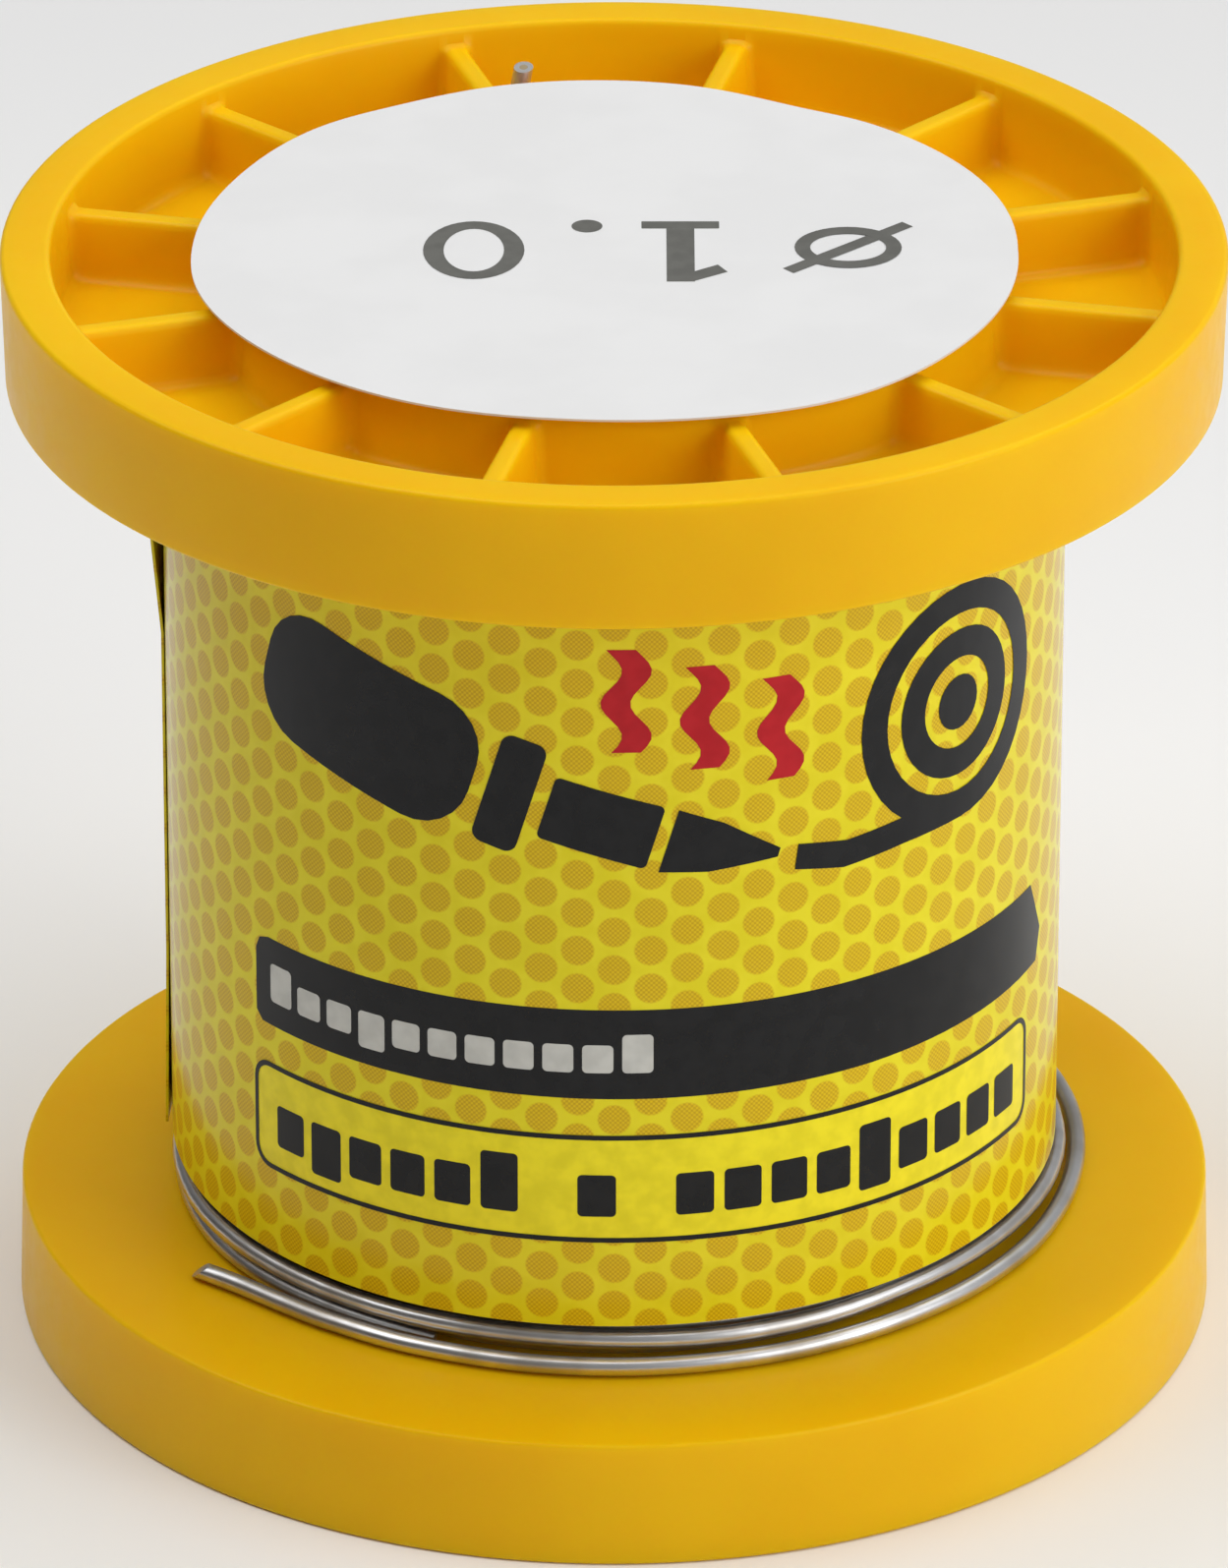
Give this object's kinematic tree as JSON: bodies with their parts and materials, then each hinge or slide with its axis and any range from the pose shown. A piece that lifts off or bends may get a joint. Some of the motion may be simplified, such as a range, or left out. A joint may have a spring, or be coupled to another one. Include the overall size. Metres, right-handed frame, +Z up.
{
  "type": "solder wire spool",
  "caption": "Flanged plastic spool wound with rosin-cored solder wire, with a wrapped label, a size sticker and a loose free end.",
  "frame": {"origin": "middle of the circle that the lower rim stands on", "axes": "+Z up along the spool's axis; -Y is the side with the label's front"},
  "size_m": [0.063, 0.063, 0.06],
  "materials": {
    "spool_plastic": "satin moulded plastic",
    "solder_wire": "bright drawn tin alloy",
    "flux_core": "glassy rosin",
    "label_film": "glossy printed film",
    "sticker_paper": "matt coated paper"
  },
  "bodies": {
    "spool": {"upper_spool_half": "spool_plastic", "lower_spool_half": "spool_plastic", "solder_winding": "solder_wire", "wire_start_end": "solder_wire", "start_flux_core": "flux_core", "wrap_label": "label_film", "diameter_sticker": "sticker_paper"},
    "free_wire": {"loose_wire": "solder_wire"}
  },
  "joints": [
    {"name": "wire_payout", "type": "hinge", "parent": "spool", "child": "free_wire", "pos_m": [0, 0, 0.0074], "axis": [0, 0, 1], "continuous": true}
  ]
}
